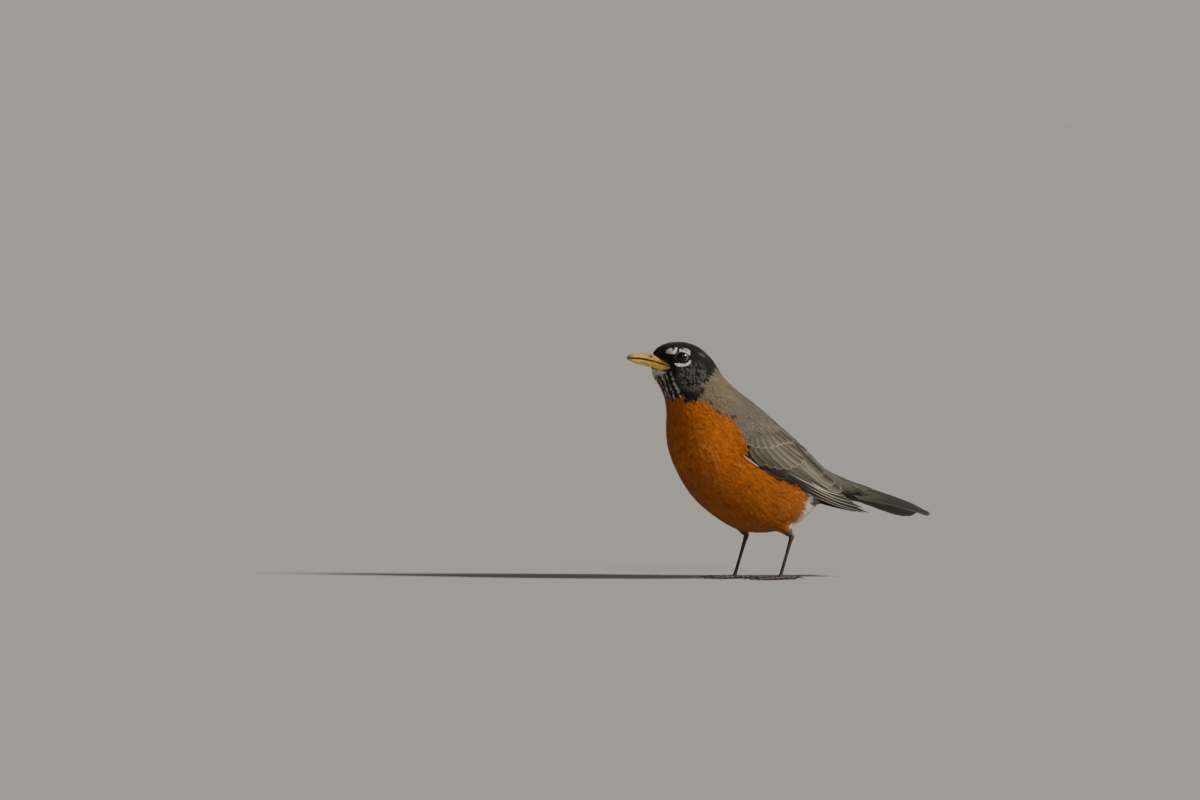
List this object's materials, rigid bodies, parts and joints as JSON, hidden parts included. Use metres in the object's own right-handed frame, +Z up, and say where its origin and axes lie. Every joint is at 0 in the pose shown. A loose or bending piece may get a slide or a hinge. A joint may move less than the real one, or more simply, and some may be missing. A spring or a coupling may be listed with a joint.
{
  "type": "american robin",
  "caption": "Life-size American robin standing upright on both feet with folded wings, head turned slightly to its right.",
  "frame": {"origin": "middle of the bounding box at floor level, under the belly", "axes": "-X ahead along the body, towards the bill; +X towards the tail; -Y the bird's left side; +Z up"},
  "size_m": [0.218, 0.0724, 0.1716],
  "materials": {
    "hood": "matte black feathers",
    "back": "matte grey-brown feathers",
    "breast": "matte brick-orange feathers",
    "flight": "matte grey-brown wing feathers with pale edges",
    "tail": "matte dark tail feathers",
    "bill": "satin yellow horn",
    "eye": "wet dark brown",
    "thigh": "matte grey feathers",
    "leg": "satin dark scaled skin",
    "claw": "polished dark horn"
  },
  "bodies": {
    "root": {"bill_lower": "bill", "bill_upper": "bill", "claw_left_hind": "claw", "claw_left_inner": "claw", "claw_left_middle": "claw", "claw_left_outer": "claw", "claw_right_hind": "claw", "claw_right_inner": "claw", "claw_right_middle": "claw", "claw_right_outer": "claw", "eye_left": "eye", "eye_right": "eye", "head": "hood", "neck": "back", "shank_left": "leg", "shank_right": "leg", "tail": "tail", "thigh_left": "thigh", "thigh_right": "thigh", "toe_left_hind": "leg", "toe_left_inner": "leg", "toe_left_middle": "leg", "toe_left_outer": "leg", "toe_right_hind": "leg", "toe_right_inner": "leg", "toe_right_middle": "leg", "toe_right_outer": "leg", "trunk": "breast", "wing_left": "flight", "wing_right": "flight"}
  },
  "joints": []
}
